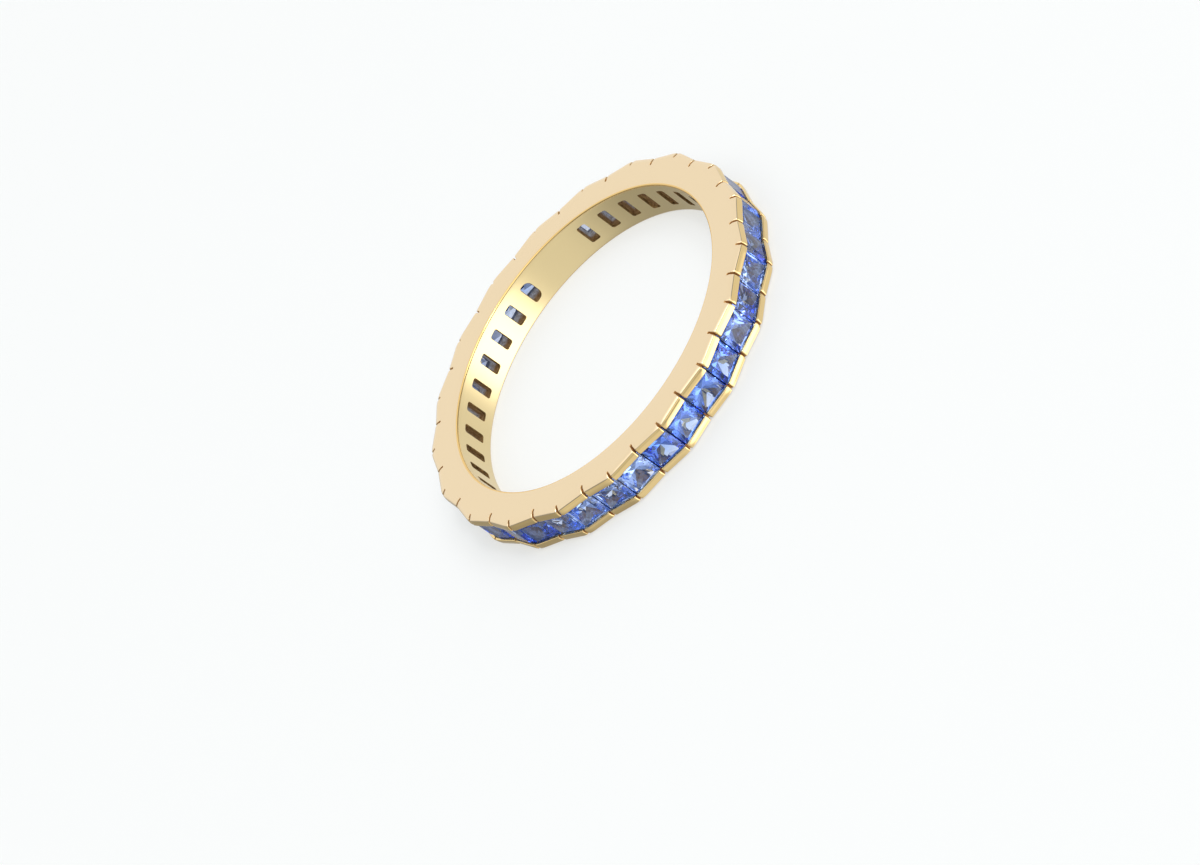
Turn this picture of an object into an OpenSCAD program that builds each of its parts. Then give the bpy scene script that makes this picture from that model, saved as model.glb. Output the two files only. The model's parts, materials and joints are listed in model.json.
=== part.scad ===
// Full eternity ring: a gold band with a channel of square princess-cut sapphires all round.
// It lies on its side. The finger hole's axis is +Z and the lower side face rests on z = 0.
// The outline is a ring of flat facets, one under each stone. Neighbouring facets lean opposite
// ways, so the joints between them stand up as a peak and lie in a valley by turns.

/* [Band] */
// Inside diameter, where the finger goes
bore_d = 17; // [15:0.5:21]
// Height of a facet over the bore, measured square to the facet
facet_rise = 1.68; // [1.5:0.02:2.1]
// Lean of a facet, away from lying square to the radius
facet_lean = 8.9; // [0:0.1:10]
// Thickness of each rail beside a stone's edge
side_wall = 0.355; // [0.3:0.005:0.6]
// Metal between the bore and the pockets under the stones
floor_t = 0.3; // [0.2:0.02:0.4]
// Bevel at both edges of the bore
bore_bevel = 0.1; // [0.04:0.01:0.2]

/* [Rails] */
// How far each rail reaches in over a stone's edge
lip_over = 0.1; // [0.03:0.01:0.14]
// Depth over which the side face rolls over to the top of the rail
roll_w = 0.27; // [0.15:0.01:0.35]
// Height that the side face loses in that roll
roll_h = 0.13; // [0.06:0.01:0.25]
// Radius of the roll, which meets the side face at a soft crease
roll_r = 0.5; // [0.45:0.05:1.5]
// Width of the saw slit across each joint
slit_w = 0.08; // [0.05:0.01:0.12]
// Depth of a slit at a peak, from the joint's outer corner
slit_peak = 0.4; // [0.3:0.02:0.6]
// Depth of a slit in a valley, from the joint's outer corner
slit_valley = 0.48; // [0.3:0.02:0.6]

/* [Stones] */
// Side of the square stones, at the girdle
stone_w = 1.6; // [1.3:0.02:1.8]
// Side of the table
table_w = 1.12; // [0.8:0.02:1.2]
// Depth of the table below the facet
table_drop = 0.1; // [0.04:0.01:0.2]
// Height of the crown, from the girdle to the table
crown_h = 0.17; // [0.12:0.01:0.24]
// Thickness of the girdle
girdle_t = 0.04; // [0.02:0.01:0.08]
// Depth of the pavilion, from the girdle to the culet
pavilion_h = 0.82; // [0.6:0.02:0.95]
// Least gap between the girdles of two neighbours
stone_gap = 0.06; // [0.04:0.01:0.2]
// Gap all round a stone in its seat
stone_clear = 0.025; // [0.01:0.005:0.05]

/* [Seats and windows] */
// Width of the ledge that carries a stone's edge
ledge_w = 0.12; // [0.08:0.01:0.2]
// Length of a bore window, along the band's width
window_l = 1.2; // [0.8:0.05:1.25]
// Width of a bore window, round the bore
window_w = 0.52; // [0.3:0.02:0.6]
// Corner radius of a bore window
window_r = 0.1; // [0.05:0.01:0.2]
// Margin between a window and the foot of its pocket, each side
foot_margin = 0.08; // [0.04:0.01:0.15]
// Cells on each side of the first joint that have no window
plain_cells = 1; // [0:1:4]

/* [Hidden] */
$fn = 96;

// Overshoot of every cut, so that no face of a cut lies on a face of the band
cut = 0.5;

bore_r = bore_d / 2;
facet_u = bore_r + facet_rise;
band_w = stone_w + 2 * (stone_clear + side_wall);
middle_z = band_w / 2;

// Distances from the axis, square to a facet, of a stone's levels
table_u = facet_u - table_drop;
girdle_top_u = table_u - crown_h;
girdle_low_u = girdle_top_u - girdle_t;
culet_u = girdle_low_u - pavilion_h;
girdle_u = (girdle_top_u + girdle_low_u) / 2;

// Length of a facet between two joints, at a distance u from the axis, with n stones in the ring
function facet_len(u, n) = u * (tan(180 / n + facet_lean) + tan(180 / n - facet_lean));

// The most stones that fit with their gaps. The number is even, because facets lean in pairs.
MOST_STONES = 80;
FEWEST_STONES = 12;
fitting = [for (n = [MOST_STONES:-2:FEWEST_STONES])
    if (facet_len(girdle_u, n) >= stone_w + stone_gap) n];
stones = fitting[0];
step = 360 / stones;

// Joint j stands j steps round from +X. Even joints are peaks.
function is_peak(j) = j % 2 == 0;
function joint_angle(j) = j * step;

// Angle between a joint's radius and the facets that meet there
function joint_tilt(j) = step / 2 + (is_peak(j) ? facet_lean : -facet_lean);

// Cell k lies between joints k and k + 1. Its facet leans away from its peak.
function lean(k) = is_peak(k) ? 1 : -1;
function facet_angle(k) = joint_angle(k + 0.5) + lean(k) * facet_lean;

// Middle of cell k's facet along the facet, at a distance u from the axis
function facet_middle(k, u) = lean(k) * u * (tan(joint_tilt(1)) - tan(joint_tilt(0))) / 2;

// Place of cell k's stone along its facet. Its pocket has the same middle.
function stone_y(k) = facet_middle(k, girdle_u);

// Ring of corners whose sides lie at a distance u from the axis
function zigzag(u) = [for (j = [0:stones - 1])
    u / cos(joint_tilt(j)) * [cos(joint_angle(j)), sin(joint_angle(j))]];

// Chevrons of the pavilion: how deep each crease lies and how far out, as shares of the
// pavilion's depth and of half the stone's side
chevrons = [[0.4, 0.66], [0.7, 0.36]];

// Crease of the crown, as shares of the way from the table to the girdle, out and down
crown_crease = [0.5, 0.38];

// Levels of the seat, measured as a stone's are. The crown's lower facets clear the lip, and the
// pavilion's upper facets clear the ledge.
half_w = stone_w / 2;
crown_run = (stone_w - table_w) / 2;
crown_slope = (1 - crown_crease[1]) * crown_h / ((1 - crown_crease[0]) * crown_run);
pavilion_slope = chevrons[0][0] * pavilion_h / ((1 - chevrons[0][1]) * half_w);
lip_u = girdle_top_u + (lip_over + stone_clear) * crown_slope;
seat_u = girdle_low_u - (ledge_w + stone_clear) * pavilion_slope;
opening = stone_w - 2 * lip_over;
groove = stone_w + 2 * stone_clear;
pocket = stone_w - 2 * ledge_w;
pocket_floor_r = bore_r + floor_t;

cells = [0:stones - 1];
function has_window(k) = k >= plain_cells && k < stones - plain_cells;

// The window next to the bare stretch is worn round on its side towards that stretch
function is_worn(k) = k == plain_cells;
worn_bulge = 0.04;

function stone_name(k) = str("sapphire_", k < 9 ? "0" : "", k + 1);

// Puts a shape in the frame of cell k's facet: x outwards, y along the facet, z across the band
module on_facet(k) {
    rotate(facet_angle(k)) children();
}

// Region outside a ring of flats at distance u
module outside(u) {
    difference() {
        circle(r = facet_u / cos(joint_tilt(0)) + cut);
        polygon(zigzag(u));
    }
}

// Slab of a given width about the middle of the band
module slab(width) {
    translate([0, 0, middle_z - width / 2]) linear_extrude(width) children();
}

// Finger hole with its two bevelled edges
module bore() {
    translate([0, 0, -cut]) cylinder(r = bore_r, h = band_w + 2 * cut);
    for (side = [0, 1])
        translate([0, 0, side * band_w]) mirror([0, 0, side])
            translate([0, 0, -cut])
                cylinder(r1 = bore_r + bore_bevel + cut, r2 = bore_r, h = bore_bevel + cut);
}

// Open channel between the rails, and the wider groove that takes the girdles
module channel() {
    slab(opening) outside(seat_u);
    slab(groove) difference() {
        polygon(zigzag(lip_u));
        polygon(zigzag(seat_u));
    }
}

// Pocket under the stone of cell k, narrowing from its ledge to its floor
module stone_pocket(k) {
    turn = -lean(k) * facet_lean;
    foot = window_w / 2 + foot_margin;
    over = seat_u + stone_clear;
    floor_middle = pocket_floor_r * [cos(turn), sin(turn)];
    floor_half = foot * [-sin(turn), cos(turn)];
    slab(pocket) on_facet(k) polygon([
        floor_middle - floor_half, [seat_u, stone_y(k) - pocket / 2], [over, stone_y(k) - pocket / 2],
        [over, stone_y(k) + pocket / 2], [seat_u, stone_y(k) + pocket / 2], floor_middle + floor_half]);
}

// Outline of a bore window: x across the band, y round the bore
module window_outline() {
    square([window_l - 2 * window_r, window_w], center = true);
    square([window_l, window_w - 2 * window_r], center = true);
    for (x = [-1, 1], y = [-1, 1])
        translate([x * (window_l / 2 - window_r), y * (window_w / 2 - window_r)]) circle(r = window_r);
}

// The same window with one long side worn round
module worn_outline() {
    intersection() {
        translate([0, worn_bulge / 2])
            square([window_l, window_w + worn_bulge], center = true);
        translate([0, -window_w / 2]) circle(r = window_l / 2 + worn_bulge / 2);
    }
}

// Window from the bore into the pocket of cell k
module bore_window(k) {
    depth = floor_t + 2 * cut;
    rotate(joint_angle(k + 0.5)) translate([bore_r - cut, 0, middle_z]) rotate([0, 90, 0])
        linear_extrude(depth) {
            if (is_worn(k)) mirror([0, 1]) worn_outline();
            else window_outline();
        }
}

// Saw slit across both rails at joint j, round at its bottom
module saw_slit(j) {
    bottom = facet_u / cos(joint_tilt(j)) - (is_peak(j) ? slit_peak : slit_valley) + slit_w / 2;
    rotate(joint_angle(j)) translate([bottom, 0, -cut]) {
        translate([0, -slit_w / 2]) cube([facet_rise, slit_w, band_w + 2 * cut]);
        cylinder(d = slit_w, h = band_w + 2 * cut);
    }
}

// Roll of both side faces over to the top of the rails, along cell k. It ends inside the slits.
module rail_roll(k) {
    length = facet_len(facet_u, stones) + slit_w / 2;
    chord = sqrt(roll_w * roll_w + roll_h * roll_h);
    sag = sqrt(roll_r * roll_r - chord * chord / 4);
    middle = [facet_u - roll_w / 2, roll_h / 2] + sag / chord * [-roll_h, roll_w];
    for (side = [0, 1])
        translate([0, 0, side * band_w]) mirror([0, 0, side])
            on_facet(k) translate([0, facet_middle(k, facet_u) + length / 2, 0]) rotate([90, 0, 0])
                linear_extrude(length) difference() {
                    translate([facet_u - roll_w, -cut]) square([roll_w + cut, roll_h + cut]);
                    translate(middle) circle(r = roll_r);
                }
}

// Solid ring of facets with both side faces rolled over. Even and odd cells are cut in turn,
// because neighbouring rolls overlap inside the slits.
module blank() {
    difference() {
        difference() {
            linear_extrude(band_w) polygon(zigzag(facet_u));
            for (k = [0:2:stones - 1]) rail_roll(k);
        }
        for (k = [1:2:stones - 1]) rail_roll(k);
    }
}

module band() {
    color("#e6c88c") difference() {
        blank();
        bore();
        channel();
        for (k = cells) stone_pocket(k);
        for (k = cells) if (has_window(k)) bore_window(k);
        for (j = cells) saw_slit(j);
    }
}

// One quarter of a stone's corner order, seen from outside: y along the facet, z across the band
corners = [[1, 1], [-1, 1], [-1, -1], [1, -1]];
function square_at(u, half) = [for (c = corners) [u, half * c[0], half * c[1]]];
function side_middle(i) = (corners[i] + corners[(i + 1) % 4]) / 2;
function middle_at(u, half, i) = [u, half * side_middle(i)[0], half * side_middle(i)[1]];

// Princess-cut stone in its cell: table, two-step crown, girdle and chevron pavilion
module sapphire(k) {
    crease_u = table_u - crown_h * crown_crease[1];
    crease_half = table_w / 2 + crown_run * crown_crease[0];
    // Order of the points: table, girdle top, girdle bottom, crown creases, upper and lower
    // pavilion creases, culet
    points = concat(
        square_at(table_u, table_w / 2), square_at(girdle_top_u, half_w), square_at(girdle_low_u, half_w),
        [for (i = [0:3]) middle_at(crease_u, crease_half, i)],
        [for (c = chevrons, i = [0:3]) middle_at(girdle_low_u - c[0] * pavilion_h, c[1] * half_w, i)],
        [[culet_u, 0, 0]]);
    table = 0;
    top = 4;
    low = 8;
    crown = 12;
    upper = 16;
    lower = 20;
    culet = 24;
    facets = concat([[table + 3, table + 2, table + 1, table]],
        [for (i = [0:3]) let (n = (i + 1) % 4) each [
            [table + i, table + n, crown + i],
            [table + i, crown + i, top + i],
            [table + n, top + n, crown + i],
            [top + i, crown + i, top + n],
            [top + i, top + n, low + n, low + i],
            [low + i, low + n, upper + i],
            [low + i, upper + i, lower + i],
            [low + n, lower + i, upper + i],
            [low + i, lower + i, culet],
            [low + n, culet, lower + i]]]);
    color("#4a63b8") on_facet(k) translate([0, stone_y(k), middle_z])
        polyhedron(points, facets);
}

band();
for (k = cells) sapphire(k);
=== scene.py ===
"""Blender scene of a gold eternity ring that lies on its side on a pale floor.

The band is a fine mesh with rounded rails, saw slits, seats and windows, and it stands for the
plain band of the frame. The sapphires keep their own meshes and get a cut-stone finish.
"""

from __future__ import annotations

import json
import logging
import math
import random
from dataclasses import dataclass
from enum import Enum

import bmesh
import bpy
from mathutils import Matrix, Vector


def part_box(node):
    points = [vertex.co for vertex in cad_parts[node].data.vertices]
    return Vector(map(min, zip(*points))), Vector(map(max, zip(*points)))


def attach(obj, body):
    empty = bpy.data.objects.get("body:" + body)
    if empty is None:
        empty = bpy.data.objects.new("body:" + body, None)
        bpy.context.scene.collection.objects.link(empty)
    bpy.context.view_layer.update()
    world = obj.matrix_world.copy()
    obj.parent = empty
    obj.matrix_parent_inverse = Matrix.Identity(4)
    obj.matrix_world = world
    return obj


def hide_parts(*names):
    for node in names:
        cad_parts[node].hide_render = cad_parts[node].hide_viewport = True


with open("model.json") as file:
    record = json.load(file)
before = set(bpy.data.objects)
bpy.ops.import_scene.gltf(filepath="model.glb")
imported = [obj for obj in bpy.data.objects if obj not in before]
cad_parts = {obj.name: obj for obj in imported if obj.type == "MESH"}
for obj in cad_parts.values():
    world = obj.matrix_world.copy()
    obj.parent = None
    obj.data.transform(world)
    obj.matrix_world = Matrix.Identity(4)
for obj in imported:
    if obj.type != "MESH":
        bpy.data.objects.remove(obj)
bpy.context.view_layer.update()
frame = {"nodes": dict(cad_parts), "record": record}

LOG = logging.getLogger("eternity_ring")
MM = 0.001

Colour = tuple[float, float, float]
Socket = bpy.types.NodeSocket
Tree = bpy.types.NodeTree


class Zone(Enum):
    """Part of the band with a finish of its own. The value is its material slot."""

    SIDE = 0
    RAIL = 1
    BORE = 2
    SEAT = 3
    SLIT = 4
    WINDOW = 5
    BEVEL = 6
    LEDGE = 7


@dataclass(frozen=True)
class RingSizes:
    """Sizes of the band in millimetres, measured square to a facet where they lie on one."""

    stones: int
    bore_r: float
    band_w: float
    facet_rise: float = 1.68
    facet_lean: float = 8.9
    bore_bevel: float = 0.1
    floor_t: float = 0.12
    lip_over: float = 0.1
    roll_w: float = 0.34
    roll_h: float = 0.14
    slit_w: float = 0.1
    slit_peak: float = 0.4
    slit_valley: float = 0.48
    stone_w: float = 1.6
    stone_clear: float = 0.025
    table_drop: float = 0.1
    crown_h: float = 0.17
    girdle_t: float = 0.04
    lip_rise: float = 0.11
    seat_drop: float = 0.175
    ledge_w: float = 0.12
    window_l: float = 1.2
    window_w: float = 0.52
    window_r: float = 0.1
    foot_margin: float = 0.08
    plain_cells: int = 1
    worn_round: float = 3.2
    worn_bulge: float = 0.04

    @property
    def step(self) -> float:
        """Angle from one joint to the next, in degrees."""
        return 360.0 / self.stones

    @property
    def facet_u(self) -> float:
        """Distance from the axis to a facet, square to it."""
        return self.bore_r + self.facet_rise

    @property
    def girdle_top_u(self) -> float:
        """Level of the upper edge of a stone's girdle."""
        return self.facet_u - self.table_drop - self.crown_h

    @property
    def girdle_u(self) -> float:
        """Level of the middle of a stone's girdle."""
        return self.girdle_top_u - self.girdle_t / 2

    @property
    def lip_u(self) -> float:
        """Level of the underside of the rails' lips."""
        return self.girdle_top_u + self.lip_rise

    @property
    def seat_u(self) -> float:
        """Level of the ledges that carry the stones."""
        return self.girdle_top_u - self.girdle_t - self.seat_drop

    @property
    def lip_z(self) -> float:
        """Distance from a side face to the inner edge of its rail."""
        return (self.band_w - self.stone_w) / 2 + self.lip_over

    @property
    def groove_z(self) -> float:
        """Distance from a side face to the wall of the groove under the lip."""
        return (self.band_w - self.stone_w) / 2 - self.stone_clear

    @property
    def pocket(self) -> float:
        """Side of the square pocket under a stone, at its ledge."""
        return self.stone_w - 2 * self.ledge_w

    def is_peak(self, joint: int) -> bool:
        """Tells whether a joint stands up as a peak."""
        return joint % 2 == 0

    def lean(self, cell: int) -> int:
        """Way that a cell's facet leans: 1 or -1."""
        return 1 if cell % 2 == 0 else -1

    def joint_angle(self, joint: float) -> float:
        """Angle of a joint round the axis, in degrees from +X."""
        return joint * self.step

    def joint_tilt(self, joint: int) -> float:
        """Angle between a joint's radius and its facets, in degrees."""
        return self.step / 2 + (self.facet_lean if self.is_peak(joint) else -self.facet_lean)

    def facet_angle(self, cell: int) -> float:
        """Direction that a cell's facet faces, in degrees from +X."""
        return self.joint_angle(cell + 0.5) + self.lean(cell) * self.facet_lean

    def facet_middle(self, cell: int, level: float) -> float:
        """Middle of a cell's facet along the facet, at a level from the axis."""
        tans = [math.tan(math.radians(self.joint_tilt(j))) for j in (0, 1)]
        return self.lean(cell) * level * (tans[1] - tans[0]) / 2

    def corner_r(self, joint: int) -> float:
        """Distance from the axis to a joint's outer corner."""
        return self.facet_u / math.cos(math.radians(self.joint_tilt(joint)))

    def slit_bottom(self, joint: int) -> float:
        """Distance from the axis to the centre of a slit's round bottom."""
        depth = self.slit_peak if self.is_peak(joint) else self.slit_valley
        return self.corner_r(joint) - depth + self.slit_w / 2

    def has_window(self, cell: int) -> bool:
        """Tells whether a cell has a window in the bore."""
        return self.plain_cells <= cell < self.stones - self.plain_cells

    def is_worn(self, cell: int) -> bool:
        """Tells whether a cell's window is worn round on one side."""
        return cell == self.plain_cells


@dataclass(frozen=True)
class Rung:
    """One point of the band's cross-section, in millimetres.

    Its radius is the round part plus the flat part, where the flat part follows the facet.
    """

    round_part: float
    flat_part: float
    z: float
    sink_in: float = 0.0
    sink_z: float = 0.0

    def radius(self, cosine: float, sink: float) -> float:
        """Radius at a station.

        Args:
            cosine: Cosine of the angle between the station and the facet's direction.
            sink: How far the rail's end is rounded down there.

        Returns:
            The distance from the axis.
        """
        return self.round_part + (self.flat_part - self.sink_in * sink) / cosine

    def height(self, sink: float) -> float:
        """Height at a station that is rounded down by sink."""
        return self.z + self.sink_z * sink


@dataclass(frozen=True)
class Station:
    """One ray round the axis where the cross-section is set down."""

    angle: float
    cell: int
    sink: float


@dataclass(frozen=True)
class Edges:
    """Radii and flares of the band's softened edges, in millimetres, and their steps."""

    end_r: float = 0.065
    end_steps: int = 5
    peak_wear: float = 0.045
    wear_reach: float = 0.42
    lip_r: float = 0.05
    crease_r: float = 0.08
    crease_steps: int = 5
    bore_steps: int = 5
    bore_flats: int = 4
    roll_steps: int = 9
    roll_fade: float = 1.6
    strip_steps: int = 6
    lip_steps: int = 4
    crown: float = 0.045
    facet_steps: int = 8
    wear_steps: int = 4
    wear_start: float = 0.4
    wear_pitch: float = 0.2
    side_steps: tuple[float, ...] = (0.35, 0.7)
    corner_steps: int = 4
    slit_steps: int = 8
    slit_flare: float = 0.018
    window_flare: float = 0.022


class Cutter:
    """Closed cutting shape made of levels of one outline."""

    def __init__(self, name: str) -> None:
        """Starts an empty cutter.

        Args:
            name: Name of the cutter's object.
        """
        self.name = name
        self.bm = bmesh.new()

    def add(self, levels: list[list[Vector]]) -> None:
        """Adds one closed body.

        Args:
            levels: Outlines with as many points each, in order, in metres.
        """
        rows = [[self.bm.verts.new(point) for point in level] for level in levels]
        count = len(rows[0])
        for low, high in zip(rows, rows[1:]):
            for i in range(count):
                self.bm.faces.new((low[i], low[(i + 1) % count], high[(i + 1) % count], high[i]))
        self.bm.faces.new(list(reversed(rows[0])))
        self.bm.faces.new(rows[-1])

    def finish(self) -> bpy.types.Object:
        """Makes the cutter's object.

        Returns:
            The object, which the caller deletes after the cut.
        """
        bmesh.ops.recalc_face_normals(self.bm, faces=self.bm.faces)
        mesh = bpy.data.meshes.new(self.name)
        self.bm.to_mesh(mesh)
        self.bm.free()
        return link(bpy.data.objects.new(self.name, mesh))


def link(obj: bpy.types.Object) -> bpy.types.Object:
    """Puts an object in the scene and returns it."""
    bpy.context.scene.collection.objects.link(obj)
    return obj


def aimed(azimuth: float, elevation: float) -> Vector:
    """Unit vector in a direction: azimuth from +X and elevation over the floor, in degrees."""
    around, up = math.radians(azimuth), math.radians(elevation)
    return Vector((math.cos(up) * math.cos(around), math.cos(up) * math.sin(around), math.sin(up)))


def turned(x: float, y: float, z: float, angle: float) -> Vector:
    """Turns a point about the axis.

    Args:
        x: Distance outwards, in millimetres.
        y: Distance along the tangent, in millimetres.
        z: Height, in millimetres.
        angle: Turn from +X, in degrees.

    Returns:
        The point in metres.
    """
    cosine, sine = math.cos(math.radians(angle)), math.sin(math.radians(angle))
    return Vector((x * cosine - y * sine, x * sine + y * cosine, z)) * MM


@dataclass(frozen=True)
class Band:
    """The gold band: rails, channel, seats, windows and slits in one mesh."""

    sizes: RingSizes
    edges: Edges

    NODE = "band"
    SLOT = "yellow_gold"
    PIECE = "band_finish"
    SMOOTH_ANGLE = 32.0
    # How far the cutters reach out of the gold, in millimetres.
    CUT = 0.5
    SLIT_CUT = 0.2
    POCKET_CUT = 0.05
    # Limits that tell the zones apart: lengths in millimetres and parts of a face's unit normal.
    NEAR = 0.01
    SEAT_REACH = 0.1
    INWARDS = -0.9
    OUTWARDS = 0.7
    SIDE_TILT = 0.3
    SLIT_TILT = 0.8

    def half_section(self) -> list[Rung]:
        """Sets out half of the cross-section.

        Returns:
            Its points from the middle of the bore, round the lower side, to the middle of the seat.
        """
        s, e = self.sizes, self.edges
        middle = s.band_w / 2
        rungs = [Rung(s.bore_r, 0, middle - (middle - s.bore_bevel) * i / e.bore_flats)
                 for i in range(e.bore_flats)]
        for i in range(e.bore_steps + 1):
            turn = math.radians(90 * i / e.bore_steps)
            rungs.append(Rung(s.bore_r + s.bore_bevel * (1 - math.cos(turn)), 0,
                              s.bore_bevel * (1 - math.sin(turn))))
        inner = s.bore_r + s.bore_bevel
        roll_start = s.facet_u - s.roll_w
        for share in e.side_steps:
            rungs.append(Rung(inner * (1 - share), roll_start * share, 0))
        facet = s.facet_u - e.crown
        end_slope = math.atan(2 * s.roll_h / s.roll_w)
        roll_w = s.roll_w - e.crown - e.crease_r * (1 - math.sin(end_slope))
        roll_h = s.roll_h - e.crease_r * math.cos(end_slope)
        for i in range(e.roll_steps + 1):
            out = i / e.roll_steps
            slope = 2 * roll_h / roll_w * out
            size = math.hypot(1, slope)
            weight = min(1.0, e.roll_fade * out)
            rungs.append(Rung(0, roll_start + roll_w * out, roll_h * out ** 2,
                              weight * slope / size, weight / size))
        for i in range(1, e.crease_steps):
            turn = end_slope + (math.pi / 2 - end_slope) * i / e.crease_steps
            rungs.append(Rung(0, facet - e.crease_r * (1 - math.sin(turn)),
                              s.roll_h - e.crease_r * math.cos(turn), math.sin(turn), math.cos(turn)))
        strip = s.lip_z - s.roll_h - e.lip_r
        for i in range(e.strip_steps + 1):
            along = i / e.strip_steps
            drop = e.crown * (1 - along) ** 2
            rungs.append(Rung(0, s.facet_u - drop, s.roll_h + strip * along, 1.0, 0.0))
        for i in range(1, e.lip_steps + 1):
            turn = math.radians(90 * i / e.lip_steps)
            rungs.append(Rung(0, s.facet_u - e.lip_r * (1 - math.cos(turn)),
                              s.lip_z - e.lip_r * (1 - math.sin(turn)), 1.0, 0.0))
        rungs.append(Rung(0, s.lip_u, s.lip_z))
        rungs.append(Rung(0, s.lip_u, s.groove_z))
        rungs.append(Rung(0, s.seat_u, s.groove_z))
        rungs.append(Rung(0, s.seat_u, (s.groove_z + middle) / 2))
        rungs.append(Rung(0, s.seat_u, middle))
        return rungs

    def section(self) -> list[Rung]:
        """Sets out the whole cross-section.

        Returns:
            The points of the closed outline.
        """
        half = self.half_section()
        width = self.sizes.band_w
        mirrored = [Rung(r.round_part, r.flat_part, width - r.z, r.sink_in, -r.sink_z)
                    for r in reversed(half[1:-1])]
        return half + mirrored

    def sink(self, joint: int, reach: float) -> float:
        """How far a rail is rounded down near a joint.

        Args:
            joint: The joint.
            reach: Distance from it along the facet.

        Returns:
            The round of the slit's edge and the wear of a peak together.
        """
        s, e = self.sizes, self.edges
        short = max(0.0, 1 - (reach - s.slit_w / 2) / e.end_r)
        end = e.end_r * (1 - math.sqrt(1 - short ** 2))
        wear = e.peak_wear * max(0.0, 1 - reach / e.wear_reach) ** 2 if s.is_peak(joint) else 0.0
        return end + wear

    def stations(self) -> list[Station]:
        """Sets out the rays all round, close together where the rails' ends are rounded.

        Returns:
            The stations in order of their angles.
        """
        s, e = self.sizes, self.edges
        result = []
        for cell in range(s.stones):
            ends = []
            for joint, way in ((cell, 1), (cell + 1, -1)):
                tilt = math.radians(s.joint_tilt(joint))
                reaches = [s.slit_w / 2 + e.end_r * (1 - math.cos(math.radians(90 * i / e.end_steps)))
                           for i in range(e.end_steps + 1)]
                reaches += [e.wear_reach * (e.wear_start + e.wear_pitch * i)
                            for i in range(e.wear_steps)]
                near = []
                for reach in reaches:
                    radius = s.corner_r(joint) - reach * math.tan(tilt)
                    angle = s.joint_angle(joint) + way * math.degrees(math.atan2(reach, radius))
                    near.append((angle, self.sink(joint, reach)))
                ends.append(near)
            first, last = ends
            result.append(Station(s.joint_angle(cell), cell, self.sink(cell, s.slit_w / 2)))
            result += [Station(angle, cell, sink) for angle, sink in first]
            start, stop = first[-1][0], last[-1][0]
            for i in range(1, e.facet_steps):
                result.append(Station(start + (stop - start) * i / e.facet_steps, cell, 0.0))
            result += [Station(angle, cell, sink) for angle, sink in reversed(last)]
        return result

    def blank(self) -> bpy.types.Object:
        """Makes the ring with the channel in it, before the rest is cut.

        Returns:
            The ring's object.
        """
        section = self.section()
        bm = bmesh.new()
        rows = []
        for station in self.stations():
            lean = math.radians(station.angle - self.sizes.facet_angle(station.cell))
            rows.append([bm.verts.new(turned(rung.radius(math.cos(lean), station.sink), 0,
                                             rung.height(station.sink), station.angle))
                         for rung in section])
        count = len(section)
        for low, high in zip(rows, rows[1:] + rows[:1]):
            for i in range(count):
                after = (i + 1) % count
                bm.faces.new((low[i], low[after], high[after], high[i]))
        bmesh.ops.recalc_face_normals(bm, faces=bm.faces)
        mesh = bpy.data.meshes.new(self.PIECE)
        bm.to_mesh(mesh)
        bm.free()
        return link(bpy.data.objects.new(self.PIECE, mesh))

    def pockets(self) -> bpy.types.Object:
        """Makes the pockets under the stones.

        Returns:
            The cutter's object.
        """
        s = self.sizes
        cutter = Cutter("pocket_cutter")
        foot = s.window_w / 2 + s.foot_margin
        floor_r = s.bore_r + s.floor_t
        over = s.seat_u + self.POCKET_CUT
        for cell in range(s.stones):
            turn = math.radians(-s.lean(cell) * s.facet_lean)
            y = s.facet_middle(cell, s.girdle_u)
            half = s.pocket / 2
            outline = [
                (floor_r * math.cos(turn) + foot * math.sin(turn),
                 floor_r * math.sin(turn) - foot * math.cos(turn)),
                (s.seat_u, y - half), (over, y - half), (over, y + half), (s.seat_u, y + half),
                (floor_r * math.cos(turn) - foot * math.sin(turn),
                 floor_r * math.sin(turn) + foot * math.cos(turn)),
            ]
            angle = s.facet_angle(cell)
            cutter.add([[turned(u, y, s.band_w / 2 + side * half, angle) for u, y in outline]
                        for side in (-1, 1)])
        return cutter.finish()

    def window_outline(self, cell: int, grow: float) -> list[tuple[float, float]]:
        """Outline of a cell's window.

        Args:
            cell: The cell.
            grow: How far the outline is grown all round.

        Returns:
            Points as (round the bore, across the band).
        """
        s, steps = self.sizes, self.edges.corner_steps
        points = []
        for side_y, side_z, start in ((1, 1, 0), (-1, 1, 90), (-1, -1, 180), (1, -1, 270)):
            worn = s.is_worn(cell) and side_y < 0
            radius = s.window_r * (s.worn_round if worn else 1)
            half_w = s.window_w / 2 + (s.worn_bulge if worn else 0)
            for i in range(steps + 1):
                turn = math.radians(start + 90 * i / steps)
                points.append((side_y * (half_w - radius) + (radius + grow) * math.cos(turn),
                               side_z * (s.window_l / 2 - radius) + (radius + grow) * math.sin(turn)))
        return points

    def windows(self) -> bpy.types.Object:
        """Makes the windows in the bore.

        Returns:
            The cutter's object.
        """
        s, e = self.sizes, self.edges
        cutter = Cutter("window_cutter")
        depths = ((-self.CUT, e.window_flare), (0, e.window_flare), (e.window_flare, 0),
                  (s.floor_t + self.CUT / 2, 0))
        for cell in range(s.stones):
            if not s.has_window(cell):
                continue
            angle = s.joint_angle(cell + 0.5)
            cutter.add([[turned(s.bore_r + depth, y, s.band_w / 2 + z, angle)
                         for y, z in self.window_outline(cell, grow)] for depth, grow in depths])
        return cutter.finish()

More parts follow.
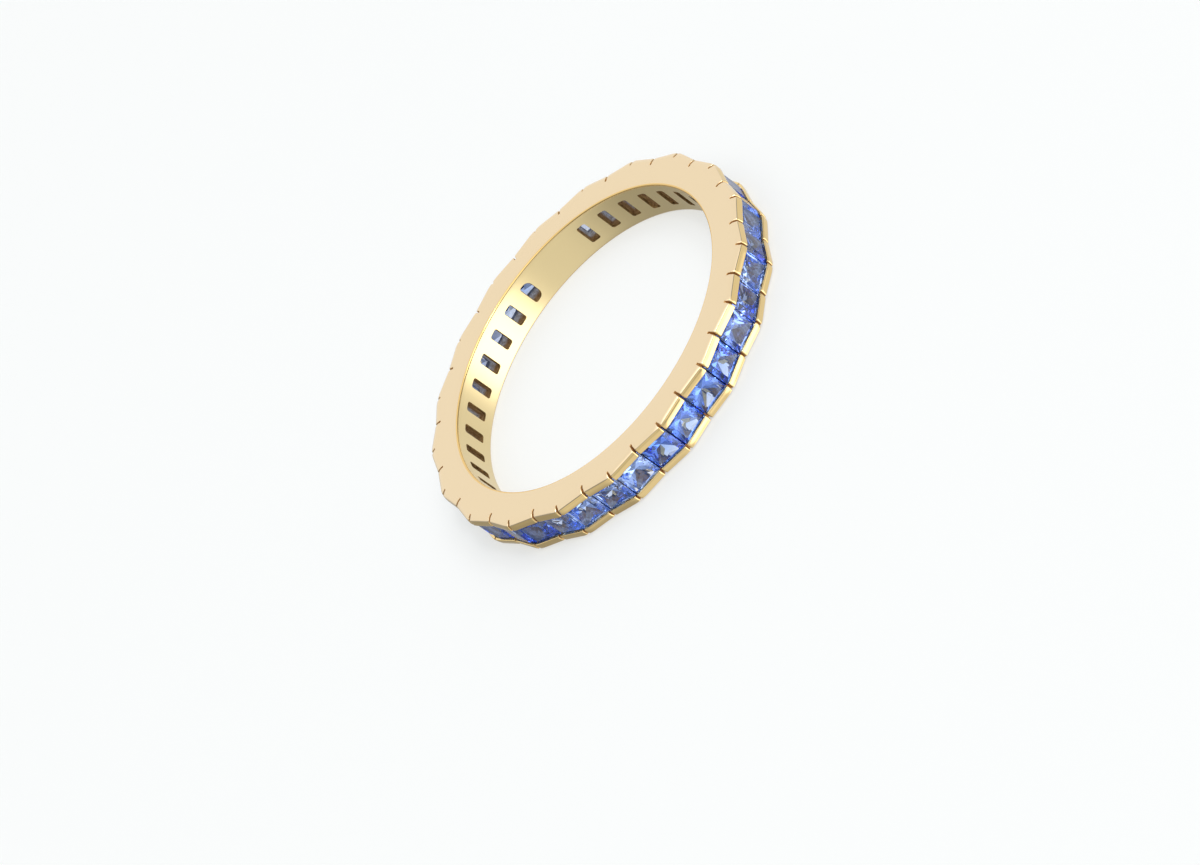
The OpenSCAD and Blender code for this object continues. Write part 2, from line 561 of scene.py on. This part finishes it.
    def slits(self) -> bpy.types.Object:
        """Makes the saw slits, flared a little at the side faces.

        Returns:
            The cutter's object.
        """
        s, e = self.sizes, self.edges
        cutter = Cutter("slit_cutter")
        flare = e.slit_flare
        levels = ((-self.CUT, flare), (0, flare), (flare, 0), (s.band_w - flare, 0),
                  (s.band_w, flare), (s.band_w + self.CUT, flare))
        for joint in range(s.stones):
            bottom, top = s.slit_bottom(joint), s.corner_r(joint) + self.SLIT_CUT
            outlines = []
            for z, grow in levels:
                half = s.slit_w / 2 + grow
                points = [(top, -half), (top, half)]
                for i in range(e.slit_steps + 1):
                    turn = math.radians(90 + 180 * i / e.slit_steps)
                    points.append((bottom + half * math.cos(turn), half * math.sin(turn)))
                outlines.append([turned(x, y, z, s.joint_angle(joint)) for x, y in points])
            cutter.add(outlines)
        return cutter.finish()

    def cut(self, body: bpy.types.Object, cutter: bpy.types.Object) -> None:
        """Cuts a cutter out of the body for good and deletes the cutter.

        Args:
            body: The object that is cut.
            cutter: The object that cuts.
        """
        modifier = body.modifiers.new("cut", "BOOLEAN")
        modifier.operation = "DIFFERENCE"
        modifier.solver = "MANIFOLD"
        modifier.object = cutter
        graph = bpy.context.evaluated_depsgraph_get()
        result = bpy.data.meshes.new_from_object(body.evaluated_get(graph))
        body.modifiers.clear()
        old = body.data
        body.data = result
        bpy.data.meshes.remove(old)
        bpy.data.objects.remove(cutter)

    def zone_of(self, middle: Vector, normal: Vector) -> Zone:
        """Finish of one face.

        Args:
            middle: The face's middle, in metres.
            normal: Its direction.

        Returns:
            The zone that it lies in.
        """
        s = self.sizes
        radius = math.hypot(middle.x, middle.y) / MM
        z = middle.z / MM
        depth = min(z, s.band_w - z)
        in_channel = depth > s.groove_z - self.NEAR
        outwards = (normal.x * middle.x + normal.y * middle.y) / (radius * MM)
        if radius < s.bore_r + self.NEAR and outwards < self.INWARDS:
            return Zone.BORE
        angle = math.degrees(math.atan2(middle.y, middle.x))
        level = radius * math.cos(math.radians(angle - s.facet_angle(math.floor(angle / s.step))))
        # Ledges take the dark navy painted shade of the seams.
        if in_channel and s.seat_u - 2 * self.NEAR < level < s.lip_u + 2 * self.NEAR:
            return Zone.LEDGE
        joint = round(angle / s.step)
        aside = abs(radius * math.radians(angle - s.joint_angle(joint)))
        # Slit walls and their flares take the darker brown gold, which is painted shade of the slots.
        if (radius > s.slit_bottom(joint) - s.slit_w
                and aside < s.slit_w / 2 + self.edges.slit_flare
                and abs(normal.z) < self.SLIT_TILT):
            return Zone.SLIT
        flat_r = s.bore_r + s.bore_bevel
        if depth < s.roll_h - 2 * self.NEAR and abs(normal.z) > self.SIDE_TILT and radius > flat_r:
            return Zone.SIDE
        if in_channel and radius < s.seat_u + self.SEAT_REACH:
            # Faces that look out from the seat into the seams take the dark navy painted shade too.
            if outwards > self.OUTWARDS:
                return Zone.LEDGE
            return Zone.SEAT if radius > s.bore_r + s.floor_t else Zone.WINDOW
        if radius < flat_r + self.NEAR:
            return Zone.BEVEL
        return Zone.RAIL

    def build(self, finishes: dict[Zone, bpy.types.Material]) -> bpy.types.Object:
        """Makes the band, dresses it and puts it in the place of the frame's band.

        Args:
            finishes: The material of each zone.

        Returns:
            The band's object.
        """
        body = self.blank()
        for cutter in (self.pockets(), self.windows(), self.slits()):
            self.cut(body, cutter)
        mesh = body.data
        mesh.name = body.name
        mesh.materials.clear()
        for zone in Zone:
            mesh.materials.append(finishes[zone])
        for face in mesh.polygons:
            face.material_index = self.zone_of(face.center, face.normal).value
            face.use_smooth = True
        mesh.set_sharp_from_angle(angle=math.radians(self.SMOOTH_ANGLE))
        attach(body, "root")
        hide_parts(self.NODE)
        return body


def smooth_step(tree: Tree, value: Socket, start: float, stop: float) -> Socket:
    """Adds a smooth step of a value.

    Args:
        tree: The node tree.
        value: The socket that gives the value.
        start: Value where the step is 0.
        stop: Value where it is 1.

    Returns:
        The step's socket.
    """
    step = tree.nodes.new("ShaderNodeMapRange")
    step.interpolation_type = "SMOOTHSTEP"
    step.inputs["From Min"].default_value = start
    step.inputs["From Max"].default_value = stop
    tree.links.new(value, step.inputs["Value"])
    return step.outputs["Result"]


def mixed(tree: Tree, share: Socket, first: Colour | Socket, second: Colour | Socket) -> Socket:
    """Adds a mix of two colours, each given as a colour or as the socket that gives it.

    Args:
        tree: The node tree.
        share: The socket that gives the share of the second colour.
        first: The first colour.
        second: The second colour.

    Returns:
        The mixed colour's socket.
    """
    mix = tree.nodes.new("ShaderNodeMix")
    mix.data_type = "RGBA"
    tree.links.new(share, mix.inputs["Factor"])
    for name, colour in (("A", first), ("B", second)):
        if isinstance(colour, tuple):
            mix.inputs[name].default_value = (*colour, 1.0)
        else:
            tree.links.new(colour, mix.inputs[name])
    return mix.outputs["Result"]


class SurfaceGroup:
    """Shader node group that is built once and placed in every material that uses it."""

    NAME = ""
    COLOURS: dict[str, Colour] = {}
    VALUES: dict[str, float] = {}
    RESULTS: dict[str, str] = {}

    @classmethod
    def place(cls, tree: Tree, values: dict[str, Colour | float]) -> bpy.types.Node:
        """Places the group in a material.

        Args:
            tree: The material's node tree.
            values: The value of each input, by its name.

        Returns:
            The group's node.
        """
        node = tree.nodes.new("ShaderNodeGroup")
        node.node_tree = bpy.data.node_groups.get(cls.NAME) or cls.build()
        for name, value in values.items():
            node.inputs[name].default_value = (*value, 1.0) if isinstance(value, tuple) else value
        return node

    @classmethod
    def build(cls) -> Tree:
        """Builds the group: its sockets and what joins them.

        Returns:
            The group's node tree.
        """
        tree = bpy.data.node_groups.new(cls.NAME, "ShaderNodeTree")
        for name, colour in cls.COLOURS.items():
            socket = tree.interface.new_socket(name, in_out="INPUT", socket_type="NodeSocketColor")
            socket.default_value = (*colour, 1.0)
        for name, value in cls.VALUES.items():
            socket = tree.interface.new_socket(name, in_out="INPUT", socket_type="NodeSocketFloat")
            socket.default_value = value
        for name, kind in cls.RESULTS.items():
            tree.interface.new_socket(name, in_out="OUTPUT", socket_type=kind)
        cls.fill(tree, tree.nodes.new("NodeGroupInput").outputs, tree.nodes.new("NodeGroupOutput").inputs)
        return tree

    @classmethod
    def fill(cls, tree: Tree, given: bpy.types.NodeOutputs, result: bpy.types.NodeInputs) -> None:
        """Joins the group's inputs to its outputs.

        Args:
            tree: The group's node tree.
            given: The sockets that give the inputs.
            result: The sockets that take the outputs.
        """
        raise NotImplementedError

    @staticmethod
    def noise(tree: Tree, place: Socket, scale: float | Socket, detail: float) -> Socket:
        """Adds a noise.

        Args:
            tree: The group's node tree.
            place: The socket that gives the place.
            scale: Waves per metre, or the socket that gives them.
            detail: Octaves of finer waves.

        Returns:
            The noise's socket.
        """
        noise = tree.nodes.new("ShaderNodeTexNoise")
        noise.inputs["Detail"].default_value = detail
        tree.links.new(place, noise.inputs["Vector"])
        if isinstance(scale, float):
            noise.inputs["Scale"].default_value = scale
        else:
            tree.links.new(scale, noise.inputs["Scale"])
        return noise.outputs["Fac"]


class HandlingMarks(SurfaceGroup):
    """Hairline scratches, faint smudges and waviness of a polished surface."""

    NAME = "handling_marks"
    COLOURS = {"Colour": (0.8, 0.6, 0.3), "Grime": (0.9, 0.9, 0.9)}
    VALUES = {"Roughness": 0.1, "Marks": 0.2, "Relief": 0.02, "Grain": 1.0}
    RESULTS = {"Colour": "NodeSocketColor", "Roughness": "NodeSocketFloat", "Normal": "NodeSocketVector"}
    SMUDGES_PER_M = 420.0
    SMUDGE_DETAIL = 3.0
    HAIRLINES_PER_M = 2600.0
    HAIRLINE_DETAIL = 2.0
    HAIRLINE_TURN = (0.4, 0.9, 0.3)
    HAIRLINE_STRETCH = (1.0, 14.0, 3.0)
    DEPTH = 0.01

    @staticmethod
    def maths(tree: Tree, operation: str, first: Socket, second: Socket) -> bpy.types.Node:
        """Adds a sum or product.

        Args:
            tree: The group's node tree.
            operation: ADD or MULTIPLY.
            first: The socket that gives the first value.
            second: The socket that gives the second value.

        Returns:
            The node.
        """
        node = tree.nodes.new("ShaderNodeMath")
        node.operation = operation
        tree.links.new(first, node.inputs[0])
        tree.links.new(second, node.inputs[1])
        return node

    @classmethod
    def fill(cls, tree: Tree, given: bpy.types.NodeOutputs, result: bpy.types.NodeInputs) -> None:
        """Joins smudges and hairlines to the outputs.

        Args:
            tree: The group's node tree.
            given: The sockets that give the inputs.
            result: The sockets that take the outputs.
        """
        nodes, links = tree.nodes, tree.links
        place = nodes.new("ShaderNodeTexCoord")
        grained = nodes.new("ShaderNodeVectorMath")
        grained.operation = "SCALE"
        links.new(place.outputs["Object"], grained.inputs["Vector"])
        links.new(given["Grain"], grained.inputs["Scale"])
        smudges = cls.noise(tree, grained.outputs["Vector"], cls.SMUDGES_PER_M, cls.SMUDGE_DETAIL)
        stretch = nodes.new("ShaderNodeMapping")
        stretch.inputs["Rotation"].default_value = cls.HAIRLINE_TURN
        stretch.inputs["Scale"].default_value = cls.HAIRLINE_STRETCH
        links.new(grained.outputs["Vector"], stretch.inputs["Vector"])
        hairlines = cls.noise(tree, stretch.outputs["Vector"], cls.HAIRLINES_PER_M, cls.HAIRLINE_DETAIL)
        both = cls.maths(tree, "MULTIPLY", smudges, hairlines)
        share = cls.maths(tree, "MULTIPLY", both.outputs["Value"], given["Marks"])
        rough = cls.maths(tree, "ADD", given["Roughness"], share.outputs["Value"])
        rough.use_clamp = True
        tint = nodes.new("ShaderNodeMix")
        tint.data_type = "RGBA"
        tint.blend_type = "MULTIPLY"
        links.new(share.outputs["Value"], tint.inputs["Factor"])
        links.new(given["Colour"], tint.inputs["A"])
        links.new(given["Grime"], tint.inputs["B"])
        bump = nodes.new("ShaderNodeBump")
        bump.inputs["Distance"].default_value = cls.DEPTH * MM
        links.new(given["Relief"], bump.inputs["Strength"])
        links.new(both.outputs["Value"], bump.inputs["Height"])
        links.new(tint.outputs["Result"], result["Colour"])
        links.new(rough.outputs["Value"], result["Roughness"])
        links.new(bump.outputs["Normal"], result["Normal"])


class PaintedGlow(SurfaceGroup):
    """Faint blue glow in wisps inside a stone: painted light that stands in for light scattered in it."""

    NAME = "sapphire_painted_glow"
    COLOURS = {"Clear": (0.0, 0.0, 0.0), "Wisp": (1.0, 1.0, 1.0)}
    VALUES = {"Scale": 5000.0}
    RESULTS = {"Colour": "NodeSocketColor"}
    DETAIL = 2.0
    WISP_START = 0.38
    WISP_STOP = 0.66

    @classmethod
    def fill(cls, tree: Tree, given: bpy.types.NodeOutputs, result: bpy.types.NodeInputs) -> None:
        """Joins the wisps to the output.

        Args:
            tree: The group's node tree.
            given: The sockets that give the inputs.
            result: The sockets that take the outputs.
        """
        place = tree.nodes.new("ShaderNodeTexCoord")
        noise = cls.noise(tree, place.outputs["Object"], given["Scale"], cls.DETAIL)
        wisps = smooth_step(tree, noise, cls.WISP_START, cls.WISP_STOP)
        tree.links.new(mixed(tree, wisps, given["Clear"], given["Wisp"]), result["Colour"])


@dataclass(frozen=True)
class GoldFinish:
    """Polished gold: its colour, gloss, fine handling marks and an optional painted glow."""

    name: str
    colour: Colour
    roughness: float
    marks: float = 0.15
    relief: float = 0.02
    grime: Colour = (0.93, 0.90, 0.86)
    grain: float = 1.0
    metal: float = 1.0
    # Emission of the finish's own colour: painted light, since gold is no lamp.
    painted_glow_strength: float = 0.0

    def make(self) -> bpy.types.Material:
        """Makes the finish.

        Returns:
            The material.
        """
        material = bpy.data.materials.new(self.name)
        material.use_nodes = True
        tree = material.node_tree
        shader = tree.nodes["Principled BSDF"]
        shader.inputs["Metallic"].default_value = self.metal
        marks = HandlingMarks.place(tree, {
            "Colour": self.colour, "Grime": self.grime, "Roughness": self.roughness,
            "Marks": self.marks, "Relief": self.relief, "Grain": self.grain,
        })
        tree.links.new(marks.outputs["Colour"], shader.inputs["Base Color"])
        tree.links.new(marks.outputs["Roughness"], shader.inputs["Roughness"])
        tree.links.new(marks.outputs["Normal"], shader.inputs["Normal"])
        # Painted glow: the gold emits its own colour.
        if self.painted_glow_strength:
            tree.links.new(marks.outputs["Colour"], shader.inputs["Emission Color"])
            shader.inputs["Emission Strength"].default_value = self.painted_glow_strength
        self.shade(tree, marks)
        return material

    def shade(self, tree: Tree, marks: bpy.types.Node) -> None:
        """Varies the colour over the surface. Plain gold is the same all over."""


@dataclass(frozen=True)
class SeatFinish(GoldFinish):
    """Gold under a stone, with painted light and shade in its colour: brown painted shade by the window,
    painted blue light as if lit through the stone, and dark painted shade by its edge.

    The radii are distances from the axis in millimetres.
    """

    ACROSS = (1.0, 1.0, 0.0)

    # Painted shade: brown at the foot of the pocket by the window. The finish's own colour is painted
    # blue light through the stone.
    foot: Colour = (0.40, 0.255, 0.11)
    foot_r: float = 8.95
    lit_r: float = 9.35
    # Painted shade: dark blue by the pocket's top edge.
    edge: Colour = (0.20, 0.25, 0.38)
    dim_r: float = 9.5
    edge_r: float = 9.75

    def shade(self, tree: Tree, marks: bpy.types.Node) -> None:
        """Mixes the brown painted shade, the painted blue light and the dark painted shade by the
        distance from the axis.

        Args:
            tree: The material's node tree.
            marks: The node that takes the colour.
        """
        place = tree.nodes.new("ShaderNodeTexCoord")
        level = tree.nodes.new("ShaderNodeVectorMath")
        level.operation = "MULTIPLY"
        level.inputs[1].default_value = self.ACROSS
        tree.links.new(place.outputs["Object"], level.inputs[0])
        radius = tree.nodes.new("ShaderNodeVectorMath")
        radius.operation = "LENGTH"
        tree.links.new(level.outputs["Vector"], radius.inputs[0])
        painted_light_share = smooth_step(tree, radius.outputs["Value"], self.foot_r * MM, self.lit_r * MM)
        painted_shade_share = smooth_step(tree, radius.outputs["Value"], self.dim_r * MM, self.edge_r * MM)
        tone = mixed(tree, painted_shade_share, mixed(tree, painted_light_share, self.foot, self.colour), self.edge)
        tree.links.new(tone, marks.inputs["Colour"])


@dataclass(frozen=True)
class SapphireFinish:
    """Cut sapphire: clear body with a blue depth colour and a faint blue painted glow in wisps, which
    brightens its shade.
    """

    PAINTED_GLOW_GAP = (0.0, 0.03, 0.12)

    name: str
    body: Colour
    depth: Colour
    density: float
    gloss: Colour = (0.55, 0.6, 0.75)
    roughness: float = 0.0
    index: float = 1.77
    # Colour, strength and scale of the painted glow in wisps.
    painted_glow_wisp: Colour = (0.32, 0.54, 1.0)
    painted_glow_level: float = 0.037
    painted_glow_per_m: float = 5200.0

    def make(self) -> bpy.types.Material:
        """Makes the finish.

        Returns:
            The material.
        """
        material = bpy.data.materials.new(self.name)
        material.use_nodes = True
        tree = material.node_tree
        shader = tree.nodes["Principled BSDF"]
        shader.inputs["Base Color"].default_value = (*self.body, 1.0)
        shader.inputs["Roughness"].default_value = self.roughness
        shader.inputs["IOR"].default_value = self.index
        shader.inputs["Specular Tint"].default_value = (*self.gloss, 1.0)
        shader.inputs["Transmission Weight"].default_value = 1.0
        # The stone glows faintly blue: painted light that brightens its shade.
        painted_glow_wisp = PaintedGlow.place(tree, {"Clear": self.PAINTED_GLOW_GAP, "Wisp": self.painted_glow_wisp, "Scale": self.painted_glow_per_m})
        tree.links.new(painted_glow_wisp.outputs["Colour"], shader.inputs["Emission Color"])
        shader.inputs["Emission Strength"].default_value = self.painted_glow_level
        inside = tree.nodes.new("ShaderNodeVolumeAbsorption")
        inside.inputs["Color"].default_value = (*self.depth, 1.0)
        inside.inputs["Density"].default_value = self.density
        tree.links.new(inside.outputs["Volume"], tree.nodes["Material Output"].inputs["Volume"])
        return material


@dataclass(frozen=True)
class Sapphires:
    """The stones of the channel, each in one of a few near tints."""

    finishes: list[SapphireFinish]

    PREFIX = "sapphire_"
    SLOT = "sapphire"
    # This seed puts the paler stones where the picture has them.
    SEED = 580161

    def dress(self) -> list[bpy.types.Object]:
        """Gives each stone its material.

        Returns:
            The stones' objects.
        """
        tints = [finish.make() for finish in self.finishes]
        picker = random.Random(self.SEED)
        stones = [frame["nodes"][name] for name in sorted(frame["nodes"])
                  if name.startswith(self.PREFIX)]
        for stone in stones:
            tint = picker.choice(tints)
            if not stone.material_slots:
                stone.data.materials.append(tint)
            for entry in stone.material_slots:
                entry.material = tint
        return stones


@dataclass(frozen=True)
class PhotoCamera:
    """Camera that looks at the ring as the picture does: angles in degrees, sizes in millimetres."""

    azimuth: float = -162.59
    elevation: float = 31.49
    roll: float = -54.71
    distance: float = 230.0
    aim: tuple[float, float, float] = (-5.29, 1.75, 1.18)
    sensor: float = 36.0
    lens: float = 145.84
    near: float = 10.0
    far: float = 10000.0
    name: str = "photo_camera"

    def build(self) -> bpy.types.Object:
        """Makes the camera and sets it as the scene's.

        Returns:
            The camera's object.
        """
        data = bpy.data.cameras.new(self.name)
        data.sensor_width = self.sensor
        data.lens = self.lens
        data.clip_start = self.near * MM
        data.clip_end = self.far * MM
        back = aimed(self.azimuth, self.elevation)
        level = (-back).cross(Vector((0, 0, 1))).normalized()
        up = back.cross(level)
        turn = Matrix.Rotation(math.radians(self.roll), 3, back)
        right, up = turn @ level, turn @ up
        camera = link(bpy.data.objects.new(self.name, data))
        place = (Vector(self.aim) + self.distance * back) * MM
        pose = Matrix((right, up, back)).transposed().to_4x4()
        camera.matrix_world = Matrix.Translation(place) @ pose
        bpy.context.scene.camera = camera
        return camera


@dataclass(frozen=True)
class Softbox:
    """One soft area light, aimed at the ring: angles in degrees, lengths in metres."""

    name: str
    azimuth: float
    elevation: float
    distance: float
    width: float
    height: float
    power: float

    def build(self) -> bpy.types.Object:
        """Makes the light.

        Returns:
            The light's object.
        """
        data = bpy.data.lights.new(self.name, "AREA")
        data.shape = "RECTANGLE"
        data.size = self.width
        data.size_y = self.height
        data.energy = self.power
        back = aimed(self.azimuth, self.elevation)
        light = link(bpy.data.objects.new(self.name, data))
        light.location = back * self.distance
        light.rotation_mode = "QUATERNION"
        light.rotation_quaternion = back.to_track_quat("Z", "Y")
        return light


@dataclass(frozen=True)
class SkyPatch:
    """Round patch of the surroundings with a level of its own: angles in degrees."""

    azimuth: float
    elevation: float
    inner: float
    outer: float
    level: float


@dataclass(frozen=True)
class SkyBand:
    """Band of the surroundings between two elevations, with soft edges: angles in degrees."""

    low: float
    high: float
    soft: float
    level: float


@dataclass(frozen=True)
class Studio:
    """Pale floor and light tent. The gold and the stones mirror the tent, not the floor.

    The patches lie over the bands.
    """

    boxes: list[Softbox]
    bands: list[SkyBand]
    patches: list[SkyPatch]

    FLOOR_SIZE = 3.0
    FLOOR_COLOUR = (0.40, 0.405, 0.403)
    FLOOR_ROUGHNESS = 0.6
    FLOOR_GLOW = (0.97, 0.985, 0.977)
    FLOOR_GLOW_STRENGTH = 0.525
    TENT = (0.98, 0.99, 1.0)
    SEEN_BACKDROP = (0.955, 0.97, 0.963)
    BOUNCES = 24
    GLOSSY_BOUNCES = 12
    TRANSMISSION_BOUNCES = 20

    def floor(self) -> bpy.types.Object:
        """Makes the floor, a pale sheet that also glows a little.

        Returns:
            The floor's object.
        """
        bm = bmesh.new()
        bmesh.ops.create_grid(bm, x_segments=1, y_segments=1, size=self.FLOOR_SIZE / 2)
        mesh = bpy.data.meshes.new("floor")
        bm.to_mesh(mesh)
        bm.free()
        floor = link(bpy.data.objects.new("floor", mesh))
        floor.visible_glossy = False
        floor.visible_transmission = False
        material = bpy.data.materials.new("pale_floor")
        material.use_nodes = True
        shader = material.node_tree.nodes["Principled BSDF"]
        shader.inputs["Base Color"].default_value = (*self.FLOOR_COLOUR, 1.0)
        shader.inputs["Roughness"].default_value = self.FLOOR_ROUGHNESS
        shader.inputs["Specular IOR Level"].default_value = 0.0
        shader.inputs["Emission Color"].default_value = (*self.FLOOR_GLOW, 1.0)
        shader.inputs["Emission Strength"].default_value = self.FLOOR_GLOW_STRENGTH
        mesh.materials.append(material)
        return floor

    def band_mask(self, tree: Tree, place: Socket, band: SkyBand) -> Socket:
        """Adds a mask that is 1 inside a band.

        Args:
            tree: The world's node tree.
            place: The socket that gives the direction.
            band: The band.

        Returns:
            The mask's socket.
        """
        parts = tree.nodes.new("ShaderNodeSeparateXYZ")
        tree.links.new(place, parts.inputs["Vector"])
        both = tree.nodes.new("ShaderNodeMath")
        both.operation = "MULTIPLY"
        for socket, edge, soft in zip(both.inputs, (band.low, band.high), (band.soft, -band.soft)):
            start, stop = (math.sin(math.radians(edge + way * soft)) for way in (-1, 1))
            tree.links.new(smooth_step(tree, parts.outputs["Z"], start, stop), socket)
        return both.outputs["Value"]

    def patch_mask(self, tree: Tree, place: Socket, patch: SkyPatch) -> Socket:
        """Adds a mask that is 1 inside a patch.

        Args:
            tree: The world's node tree.
            place: The socket that gives the direction.
            patch: The patch.

        Returns:
            The mask's socket.
        """
        dot = tree.nodes.new("ShaderNodeVectorMath")
        dot.operation = "DOT_PRODUCT"
        dot.inputs[1].default_value = aimed(patch.azimuth, patch.elevation)
        tree.links.new(place, dot.inputs[0])
        return smooth_step(tree, dot.outputs["Value"], math.cos(math.radians(patch.outer)),
                           math.cos(math.radians(patch.inner)))

    def tent(self) -> None:
        """Makes the light tent. Seen directly it is as pale as the floor."""
        world = bpy.data.worlds.new("light_tent")
        world.use_nodes = True
        tree = world.node_tree
        place = tree.nodes.new("ShaderNodeTexCoord").outputs["Generated"]
        masks = [(self.band_mask(tree, place, band), band.level) for band in self.bands]
        masks += [(self.patch_mask(tree, place, patch), patch.level) for patch in self.patches]
        tone = self.TENT
        for mask, level in masks:
            tone = mixed(tree, mask, tone, tuple(level * part for part in self.TENT))
        rays = tree.nodes.new("ShaderNodeLightPath")
        seen = mixed(tree, rays.outputs["Is Camera Ray"], tone, self.SEEN_BACKDROP)
        tree.links.new(seen, tree.nodes["Background"].inputs["Color"])
        bpy.context.scene.world = world

    def build(self) -> None:
        """Makes floor, surroundings and lights and sets how colours are shown."""
        self.floor()
        self.tent()
        for box in self.boxes:
            box.build()
        scene = bpy.context.scene
        scene.view_settings.view_transform = "Standard"
        scene.view_settings.look = "None"
        scene.cycles.max_bounces = self.BOUNCES
        scene.cycles.glossy_bounces = self.GLOSSY_BOUNCES
        scene.cycles.transmission_bounces = self.TRANSMISSION_BOUNCES


def ring_sizes() -> RingSizes:
    """Reads the ring's bore, width and count of stones from the frame.

    Returns:
        The ring's sizes.
    """
    low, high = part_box(Band.NODE)
    bore = next(m for m in frame["record"]["mounts"] if m["kind"] == "bore")
    stones = sum(name.startswith(Sapphires.PREFIX) for name in frame["nodes"])
    return RingSizes(stones=stones, bore_r=bore["dims"]["r_mm"],
                     band_w=round((high.z - low.z) / MM, 3))


def gold_finishes() -> dict[Zone, bpy.types.Material]:
    """Makes the finishes of the band.

    Returns:
        The material of each zone.
    """
    looks = {
        # Side, rail and bore are one gold. Their tints and brightness differ to match how each part looks
        # under the light, which is painted light on the gold's own colour.
        Zone.SIDE: GoldFinish("side_gold", colour=(0.88, 0.70, 0.45), roughness=0.10),
        Zone.RAIL: GoldFinish("rail_gold", colour=(0.90, 0.67, 0.31), roughness=0.08),
        Zone.BORE: GoldFinish("bore_gold", colour=(0.91, 0.74, 0.40), roughness=0.28),
        # Seat colours are painted light and shade: brown painted shade at the foot, painted blue light in
        # the middle, dark painted shade by the ledge, and a painted glow.
        Zone.SEAT: SeatFinish("seat_painted_light_and_shade", colour=(0.72, 0.80, 0.92), roughness=0.5, marks=2.6,
                              relief=0.6, grime=(0.28, 0.19, 0.11), grain=14.0, metal=0.0, painted_glow_strength=0.30),
        # Dark navy on the ledges and seam walls is painted shade in the seams between the stones, not the
        # gold's colour.
        Zone.LEDGE: GoldFinish("ledge_painted_shade", colour=(0.06, 0.08, 0.17), roughness=0.4),
        Zone.BEVEL: GoldFinish("bevel_gold", colour=(0.88, 0.60, 0.24), roughness=0.1),
        Zone.WINDOW: GoldFinish("window_gold", colour=(0.80, 0.56, 0.26), roughness=0.5, marks=3.0,
                                relief=0.5, grime=(0.3, 0.27, 0.22), grain=9.0),
        # The darker brown gold of the slits and their flares is painted shade of the narrow slots on top
        # of the gold.
        Zone.SLIT: GoldFinish("slit_gold_painted_shade", colour=(0.68, 0.44, 0.19), roughness=0.6),
    }
    return {zone: look.make() for zone, look in looks.items()}


def sapphire_finishes() -> list[SapphireFinish]:
    """Sets out the stones' tints, which are near each other but for the pale one.

    Returns:
        The tints that the stones are picked from.
    """
    return [
        SapphireFinish("sapphire_cornflower", body=(0.97, 0.98, 1.0), depth=(0.18, 0.46, 0.95),
                       density=950.0),
        SapphireFinish("sapphire_blue", body=(0.96, 0.98, 1.0), depth=(0.14, 0.44, 0.95),
                       density=1080.0),
        SapphireFinish("sapphire_periwinkle", body=(0.98, 0.98, 1.0), depth=(0.24, 0.47, 0.95),
                       density=850.0),
        # The pale stone has a stronger painted glow.
        SapphireFinish("sapphire_pale", body=(1.0, 1.0, 1.0), depth=(0.26, 0.50, 0.95),
                       density=560.0, painted_glow_level=0.07),
    ]


def studio() -> Studio:
    """Sets out the light. The camera stands at azimuth -163 and elevation 31.

    Returns:
        The studio.
    """
    return Studio(
        boxes=[
            Softbox("key_box", azimuth=-128.0, elevation=60.0, distance=0.5, width=0.10, height=0.10,
                    power=0.35),
        ],
        bands=[
            # Wall below the ring's level, then the dimmer wall above it.
            SkyBand(low=-84.0, high=-6.0, soft=4.0, level=0.84),
            SkyBand(low=-6.0, high=36.0, soft=5.0, level=0.38),
        ],
        patches=[
            # Dark flag on one side, and the pale wall behind the ring.
            SkyPatch(azimuth=118.0, elevation=30.0, inner=12.0, outer=30.0, level=0.3),
            SkyPatch(azimuth=10.0, elevation=26.0, inner=37.0, outer=62.0, level=1.0),
            # Dark flag at the ring's level beside the camera, with the bright screen over it.
            SkyPatch(azimuth=-131.0, elevation=4.0, inner=14.0, outer=34.0, level=0.3),
            SkyPatch(azimuth=-133.0, elevation=64.0, inner=18.0, outer=42.0, level=1.6),
            # Small lamp, which gives the bright glints.
            SkyPatch(azimuth=-98.0, elevation=50.0, inner=5.0, outer=11.0, level=5.0),
            # Bright screen below the ring's level and the dim wall across from it.
            SkyPatch(azimuth=-128.0, elevation=-31.0, inner=17.0, outer=36.0, level=2.6),
            SkyPatch(azimuth=76.0, elevation=-31.0, inner=8.0, outer=64.0, level=0.38),
        ],
    )


def main() -> None:
    """Builds the camera, the ring and the studio in order."""
    logging.basicConfig(level=logging.INFO, format="%(name)s: %(message)s")
    PhotoCamera().build()
    band = Band(ring_sizes(), Edges()).build(gold_finishes())
    LOG.info("%s: %d faces", band.name, len(band.data.polygons))
    stones = Sapphires(sapphire_finishes()).dress()
    LOG.info("%d sapphires dressed", len(stones))
    studio().build()


if __name__ == "__main__":
    main()
